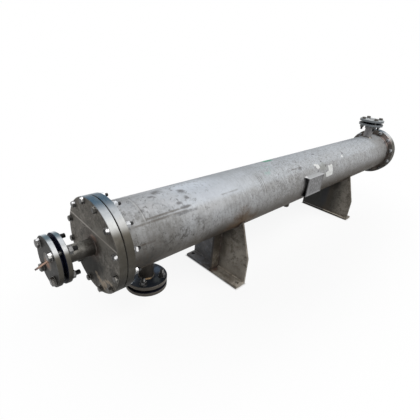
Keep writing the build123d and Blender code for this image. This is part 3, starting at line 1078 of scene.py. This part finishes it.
cover_bolt = model_bolt(m12, cover_face_x - shell_flange_back_x, nut_finish)
nozzle_bolt = model_bolt(m16, axial_blind_face_x - axial_flange_back_x, dark_nut_finish)
nozzle_stud = model_bolt(m16, radial_blind_face - radial_flange_back, dark_nut_finish, False)
for joint, pattern, face_x, circle in (
    ("cover", cover_bolt, cover_face_x, cover_circle),
    ("axial", nozzle_bolt, axial_blind_face_x, nozzle_circle),
):
    for end, side in ends:
        centre = (side * face_x, 0, axis_height)
        set_bolts(f"{end}_{joint}", pattern, centre, (side, 0, 0), *circle)
for prefix, side, pattern in (("bottom", -1, nozzle_stud), ("top", 1, nozzle_bolt)):
    centre = (side * radial_nozzle_x, 0, axis_height + side * radial_blind_face)
    set_bolts(prefix, pattern, centre, (0, 0, side), *nozzle_circle)
for pattern in (cover_bolt, nozzle_bolt, nozzle_stud):
    bpy.data.objects.remove(pattern)


# Weld beads


def weld_ring(name, centre, outward, radius, bead, pitch=0.0034):
    """A fillet weld round a pipe or a disc; every second ring of it is drawn in as a ripple."""
    rings = 2 * max(12, round(2 * math.pi * radius / pitch))
    bpy.ops.mesh.primitive_torus_add(
        major_radius=radius,
        minor_radius=bead,
        major_segments=rings,
        minor_segments=bead_sides,
    )
    ring = bpy.context.object
    for vertex in ring.data.vertices:
        if vertex.index // bead_sides % 2:
            angle = math.atan2(vertex.co.y, vertex.co.x)
            core = Vector((radius * math.cos(angle), radius * math.sin(angle), 0))
            vertex.co = core.lerp(vertex.co, bead_draw)
    ring.matrix_world = Matrix.Translation(centre) @ turn_to(outward)
    return keep_piece(ring, name, weld_finish)


def weld_saddle_ring(name, x, side, radius, bead):
    """A weld round a pipe that stands on the shell, so it dips over the round of the shell."""
    ring = weld_ring(name, (x, 0, axis_height), (0, 0, side), radius, bead)
    for vertex in ring.data.vertices:
        drop = math.sqrt(max(shell_radius**2 - vertex.co.y**2, 0.0))
        vertex.co.z += side * drop


def weld_run(name, start, stop, bead, look, pitch=0.0036):
    """A straight weld: one short pass repeated along its length."""
    way = Vector(stop) - Vector(start)
    count = max(2, round(way.length / pitch))
    step = way.length / count
    run = add_cylinder(bead_sides, bead, 0, step)
    bake_place()
    select_faces(run, lambda lean: lean > flat_on)
    bpy.ops.transform.resize(value=(bead_draw, bead_draw, 1.0))
    bpy.ops.object.mode_set(mode="OBJECT")
    array = run.modifiers.new("passes", "ARRAY")
    array.count = count
    array.use_relative_offset = False
    array.use_constant_offset = True
    array.constant_offset_displace = (0, 0, step)
    bpy.ops.object.modifier_apply(modifier=array.name)
    run.matrix_world = Matrix.Translation(start) @ turn_to(way)
    keep_piece(run, name, look)


def cut_off(place, normal):
    """Cuts away the side of the active piece that the normal points to, and closes the cut."""
    bpy.ops.object.mode_set(mode="EDIT")
    bpy.ops.mesh.select_all(action="SELECT")
    bpy.ops.mesh.bisect(plane_co=place, plane_no=normal, use_fill=True, clear_outer=True)


def weld_cradle(name, x, bead):
    """The weld between a saddle web and the part of the shell that it wraps."""
    radius = shell_radius + 0.6 * bead
    arc = weld_ring(name, (x, 0, axis_height), (1, 0, 0), radius, bead, 0.004)
    pick(arc)
    cut_off((x, 0, axis_height - shell_radius * math.cos(saddle_wrap)), (0, 0, 1))
    bpy.ops.object.mode_set(mode="OBJECT")
    arc.select_set(False)


# Sizes of the beads, and how far a bead's middle stands out of its corner
shell_bead = 0.0045
flange_bead = foot_bead = 0.0038
rib_bead = 0.0034
cradle_bead = 0.004
neck_bead = 0.005
drain_bead = 0.0036
bead_out = 0.001
shell_bead_out = 0.0015
shell_weld_radius = shell_radius + shell_bead_out
neck_weld_radius = neck_radius + bead_out
drain_weld_radius = 0.0208
foot_weld_end = saddle_half_width - 0.004
foot_weld_z = saddle_base_top + bead_out

for end, side in ends:
    for joint, x, radius, bead in (
        ("flange", shell_flange_back_x - shell_bead_out, shell_weld_radius, shell_bead),
        ("neck", cover_face_x + bead_out, neck_weld_radius, shell_bead),
        ("axial_flange", axial_flange_back_x - bead_out, neck_weld_radius, flange_bead),
    ):
        centre = (side * x, 0, axis_height)
        weld_ring(f"{end}_{joint}_weld", centre, (side, 0, 0), radius, bead)
    for face, web_x, lean in (("inner", saddle_inner_x, -1), ("outer", saddle_web_x, 1)):
        x = side * (web_x + lean * bead_out)
        weld_cradle(f"{end}_cradle_weld_{face}", x, cradle_bead)
        ends_y = [(x, y, foot_weld_z) for y in (-foot_weld_end, foot_weld_end)]
        weld_run(f"{end}_web_foot_weld_{face}", *ends_y, foot_bead, saddle_weld_finish)
    for face, y in (("left", rib_half), ("right", -rib_half)):
        ends_x = [(side * x, y, foot_weld_z) for x in (saddle_web_x, saddle_rib_x)]
        weld_run(f"{end}_rib_foot_weld_{face}", *ends_x, foot_bead, weld_finish)
        x = side * (saddle_web_x + bead_out)
        ends_z = [(x, y, z) for z in (saddle_base_top, axis_height - shell_radius)]
        weld_run(f"{end}_rib_back_weld_{face}", *ends_z, rib_bead, weld_finish)
for name, side in (("bottom", -1), ("top", 1)):
    x = side * radial_nozzle_x
    weld_saddle_ring(f"{name}_neck_weld", x, side, neck_weld_radius, neck_bead)
    centre = (x, 0, axis_height + side * (radial_flange_back - bead_out))
    weld_ring(f"{name}_flange_weld", centre, (0, 0, side), neck_weld_radius, flange_bead)
weld_saddle_ring("drain_weld", drain_x, -1, drain_weld_radius, drain_bead)


# Rivets of the name plate

rivet_radius = 0.0036
rivet_squash = 0.7
rivet_places = [(x, plate_face_y, z) for x in plate_corner_x for z in plate_corner_z]
for index, place in enumerate(rivet_places):
    bpy.ops.mesh.primitive_uv_sphere_add(
        segments=12, ring_count=8, radius=rivet_radius, location=place
    )
    rivet = bpy.context.object
    bake_place()
    cut_off(place, (0, 1, 0))
    bpy.ops.mesh.select_all(action="SELECT")
    bpy.ops.transform.resize(value=(1.0, rivet_squash, 1.0), center_override=place)
    bpy.ops.object.mode_set(mode="OBJECT")
    keep_piece(rivet, f"plate_rivet_{index + 1}", plate_finish)


# Floor, light and camera


def add_shader(tree, kind, colour, **strength):
    return add_node(tree, kind, {"Color": (*colour, 1), **strength})[0]


def mix_shaders(tree, *parts):
    """Two shaders mixed; the first of the parts is the share of the second shader."""
    return add_node(tree, "MixShader", dict(enumerate(parts)))[0]


def close_stage(tree, output_kind, lighting, seen_as):
    """Ends a tree with one shader that lights the vessel and one that is seen or mirrored."""
    path = add_node(tree, "LightPath", {})
    seen = add_math(tree, "MAXIMUM", path["Is Camera Ray"], path["Is Glossy Ray"])
    seen = add_math(tree, "MAXIMUM", seen, path["Is Transmission Ray"])
    add_node(tree, output_kind, {"Surface": mix_shaders(tree, seen, lighting, seen_as)})


floor_size = 60
floor_drop = 0.0005
bpy.ops.mesh.primitive_plane_add(size=floor_size, location=(0, 0, -floor_drop))
floor = bpy.context.object
floor.name = "studio_floor"
floor_material = bpy.data.materials.new("pale_floor")
floor_material.use_nodes = True
tree = floor_material.node_tree
tree.nodes.clear()
matt = add_shader(tree, "BsdfDiffuse", (0.32, 0.32, 0.32))
bright = add_shader(tree, "BsdfDiffuse", (0.95, 0.95, 0.95))
glow = add_shader(tree, "Emission", (1, 1, 1), Strength=1.0)
place, *axes = add_place(tree)
# The shadow fades out from under the vessel and is whole under its floor plates
reach = add_vector_math(tree, "LENGTH", add_vector_math(tree, "MULTIPLY", place, (0.55, 1.0, 0.0)))
fade = add_ramp(tree, reach, 0.3, 1.0, 0.86, 1.0)
across_x, across_y = (add_math(tree, "ABSOLUTE", axis) for axis in axes[:2])
foot_middle = (saddle_inner_x + saddle_outer_x) / 2
foot_x = add_math(tree, "ABSOLUTE", add_math(tree, "SUBTRACT", across_x, foot_middle))
beyond_x = add_math(tree, "SUBTRACT", foot_x, saddle_outer_x - foot_middle)
beyond_y = add_math(tree, "SUBTRACT", across_y, saddle_half_width)
clear = add_ramp(tree, add_math(tree, "MAXIMUM", beyond_x, beyond_y), 0.0, 0.01)
backdrop = mix_shaders(tree, add_math(tree, "MULTIPLY", fade, clear), bright, glow)
close_stage(tree, "OutputMaterial", matt, backdrop)
floor.data.materials.append(floor_material)

world = bpy.data.worlds.new("studio_air")
bpy.context.scene.world = world
world.use_nodes = True
tree = world.node_tree
tree.nodes.clear()
air = add_shader(tree, "Background", (0.93, 0.96, 1.0), Strength=0.24)
white = add_shader(tree, "Background", (1, 1, 1), Strength=1.0)
close_stage(tree, "OutputWorld", air, white)


def place_on_set(name, data, location, rotation):
    holder = bpy.data.objects.new(name, data)
    bpy.context.scene.collection.objects.link(holder)
    holder.location = location
    holder.rotation_euler = rotation
    return holder


def soft_box(name, place, size, power, colour):
    """A wide lamp aimed at the middle of the shell."""
    lamp = bpy.data.lights.new(name, "AREA")
    lamp.shape = "RECTANGLE"
    lamp.size, lamp.size_y = size
    lamp.energy = power
    lamp.color = colour
    aim = Vector((0.0, 0.0, 0.37)) - Vector(place)
    place_on_set(name, lamp, place, aim.to_track_quat("-Z", "Y").to_euler())


soft_box("window_box", (0.8, -2.2, 3.2), (4.0, 2.0), 104.0, (1.0, 0.99, 0.97))
soft_box("far_box", (0.2, 2.6, 2.6), (3.0, 1.6), 30.0, (0.96, 0.98, 1.0))

camera_data = bpy.data.cameras.new("photo_camera")
camera_data.sensor_width = 36.0
camera_data.lens = 27.757
camera_data.shift_y = 0.0049
bpy.context.scene.camera = place_on_set(
    "photo_camera",
    camera_data,
    (-1.60362, -0.8756, 0.98023),
    [math.radians(a) for a in (63.48987, -5.07508, -44.60817)],
)

bpy.context.scene.view_settings.view_transform = "Standard"
